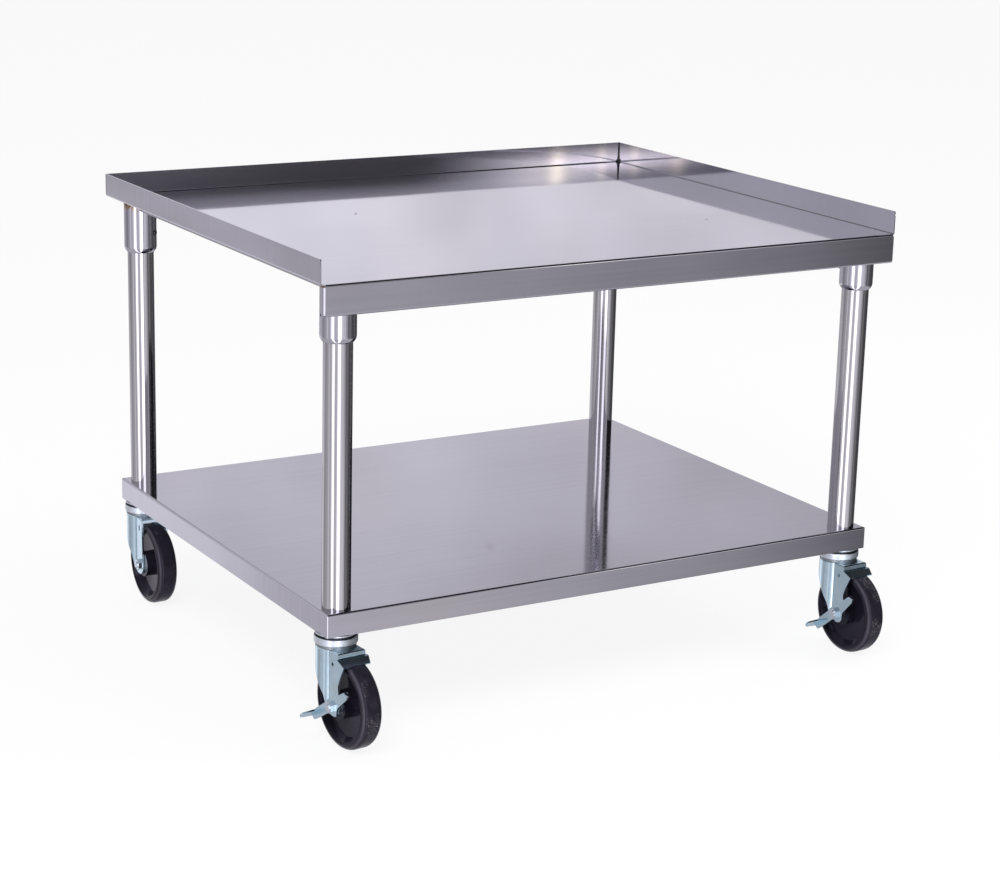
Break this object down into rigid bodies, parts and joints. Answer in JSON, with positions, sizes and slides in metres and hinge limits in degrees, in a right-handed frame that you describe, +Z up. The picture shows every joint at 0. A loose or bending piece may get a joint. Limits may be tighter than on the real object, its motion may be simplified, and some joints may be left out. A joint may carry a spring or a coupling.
{
  "type": "kitchen equipment stand",
  "caption": "Stainless equipment stand: deck with raised edges and front apron, under shelf, tube legs, swivel casters with front pedal brakes.",
  "frame": {"origin": "middle of the footprint of the whole stand, on the floor", "axes": "+X to the right along the deck's long side, +Y from the apron front to the back, +Z up"},
  "size_m": [0.9493, 0.8132, 0.675],
  "materials": {
    "stainless_sheet": "satin stainless sheet",
    "stainless_tube": "brushed stainless tube and channel",
    "zinc_plated_steel": "bright blue-white zinc plate",
    "ball_steel": "polished",
    "black_wheel": "glossy black hard wheel",
    "dark_nylon": "matt"
  },
  "bodies": {
    "stand": {"top_deck": "stainless_sheet", "mid_channel": "stainless_tube", "left_channel": "stainless_tube", "right_channel": "stainless_tube", "under_shelf": "stainless_sheet", "shelf_channel": "stainless_tube", "set_screws": "zinc_plated_steel", "stem_plugs": "dark_nylon", "swivel_balls": "ball_steel", "fl_socket": "stainless_sheet", "fl_leg": "stainless_tube", "fl_stem": "zinc_plated_steel", "fl_top_race": "zinc_plated_steel", "fr_socket": "stainless_sheet", "fr_leg": "stainless_tube", "fr_stem": "zinc_plated_steel", "fr_top_race": "zinc_plated_steel", "rl_socket": "stainless_sheet", "rl_leg": "stainless_tube", "rl_stem": "zinc_plated_steel", "rl_top_race": "zinc_plated_steel", "rr_socket": "stainless_sheet", "rr_leg": "stainless_tube", "rr_stem": "zinc_plated_steel", "rr_top_race": "zinc_plated_steel"},
    "fl_swivel": {"fl_swivel_ring": "zinc_plated_steel", "fl_fork": "zinc_plated_steel", "fl_axle_bolt": "zinc_plated_steel", "fl_axle_nut": "zinc_plated_steel", "fl_axle_sleeve": "stainless_tube"},
    "fl_rolling_wheel": {"fl_wheel": "black_wheel", "fl_wheel_bearing": "dark_nylon"},
    "fr_swivel": {"fr_swivel_ring": "zinc_plated_steel", "fr_fork": "zinc_plated_steel", "fr_axle_bolt": "zinc_plated_steel", "fr_axle_nut": "zinc_plated_steel", "fr_axle_sleeve": "stainless_tube"},
    "fr_rolling_wheel": {"fr_wheel": "black_wheel", "fr_wheel_bearing": "dark_nylon"},
    "rl_swivel": {"rl_swivel_ring": "zinc_plated_steel", "rl_fork": "zinc_plated_steel", "rl_axle_bolt": "zinc_plated_steel", "rl_axle_nut": "zinc_plated_steel", "rl_axle_sleeve": "stainless_tube"},
    "rl_rolling_wheel": {"rl_wheel": "black_wheel", "rl_wheel_bearing": "dark_nylon"},
    "rr_swivel": {"rr_swivel_ring": "zinc_plated_steel", "rr_fork": "zinc_plated_steel", "rr_axle_bolt": "zinc_plated_steel", "rr_axle_nut": "zinc_plated_steel", "rr_axle_sleeve": "stainless_tube"},
    "rr_rolling_wheel": {"rr_wheel": "black_wheel", "rr_wheel_bearing": "dark_nylon"},
    "fl_lever": {"fl_brake_lever": "zinc_plated_steel"},
    "fl_shoe": {"fl_brake_shoe": "zinc_plated_steel"},
    "fr_lever": {"fr_brake_lever": "zinc_plated_steel"},
    "fr_shoe": {"fr_brake_shoe": "zinc_plated_steel"}
  },
  "joints": [
    {"name": "fl_swivel_turn", "type": "hinge", "parent": "stand", "child": "fl_swivel", "pos_m": [-0.4285, -0.308, 0.1428], "axis": [0, 0, 1], "continuous": true},
    {"name": "fl_wheel_spin", "type": "hinge", "parent": "fl_swivel", "child": "fl_rolling_wheel", "pos_m": [-0.42551, -0.34287, 0.0635], "axis": [0.9963, 0.0854, 0], "continuous": true},
    {"name": "fr_swivel_turn", "type": "hinge", "parent": "stand", "child": "fr_swivel", "pos_m": [0.4285, -0.308, 0.1428], "axis": [0, 0, 1], "continuous": true},
    {"name": "fr_wheel_spin", "type": "hinge", "parent": "fr_swivel", "child": "fr_rolling_wheel", "pos_m": [0.42936, -0.34299, 0.0635], "axis": [0.9997, 0.0244, 0], "continuous": true},
    {"name": "rl_swivel_turn", "type": "hinge", "parent": "stand", "child": "rl_swivel", "pos_m": [-0.4285, 0.371, 0.1428], "axis": [0, 0, 1], "continuous": true},
    {"name": "rl_wheel_spin", "type": "hinge", "parent": "rl_swivel", "child": "rl_rolling_wheel", "pos_m": [-0.4285, 0.336, 0.0635], "axis": [1, 0, 0], "continuous": true},
    {"name": "rr_swivel_turn", "type": "hinge", "parent": "stand", "child": "rr_swivel", "pos_m": [0.4285, 0.371, 0.1428], "axis": [0, 0, 1], "continuous": true},
    {"name": "rr_wheel_spin", "type": "hinge", "parent": "rr_swivel", "child": "rr_rolling_wheel", "pos_m": [0.4285, 0.336, 0.0635], "axis": [1, 0, 0], "continuous": true},
    {"name": "fl_brake_pedal", "type": "hinge", "parent": "fl_swivel", "child": "fl_lever", "pos_m": [-0.45291, -0.34522, 0.0635], "axis": [0.9963, 0.0854, 0], "range_deg": [0, 35]},
    {"name": "fl_shoe_rock", "type": "hinge", "parent": "fl_swivel", "child": "fl_shoe", "pos_m": [-0.42585, -0.33889, 0.122], "axis": [0.9963, 0.0854, 0], "range_deg": [-4.5, 0]},
    {"name": "fr_brake_pedal", "type": "hinge", "parent": "fr_swivel", "child": "fr_lever", "pos_m": [0.40186, -0.34366, 0.0635], "axis": [0.9997, 0.0244, 0], "range_deg": [0, 35]},
    {"name": "fr_shoe_rock", "type": "hinge", "parent": "fr_swivel", "child": "fr_shoe", "pos_m": [0.42926, -0.33899, 0.122], "axis": [0.9997, 0.0244, 0], "range_deg": [-4.5, 0]}
  ],
  "couplings": [
    {"joint": "fl_shoe_rock", "follows": "fl_brake_pedal", "ratio": -0.1285},
    {"joint": "fr_shoe_rock", "follows": "fr_brake_pedal", "ratio": -0.1285}
  ]
}
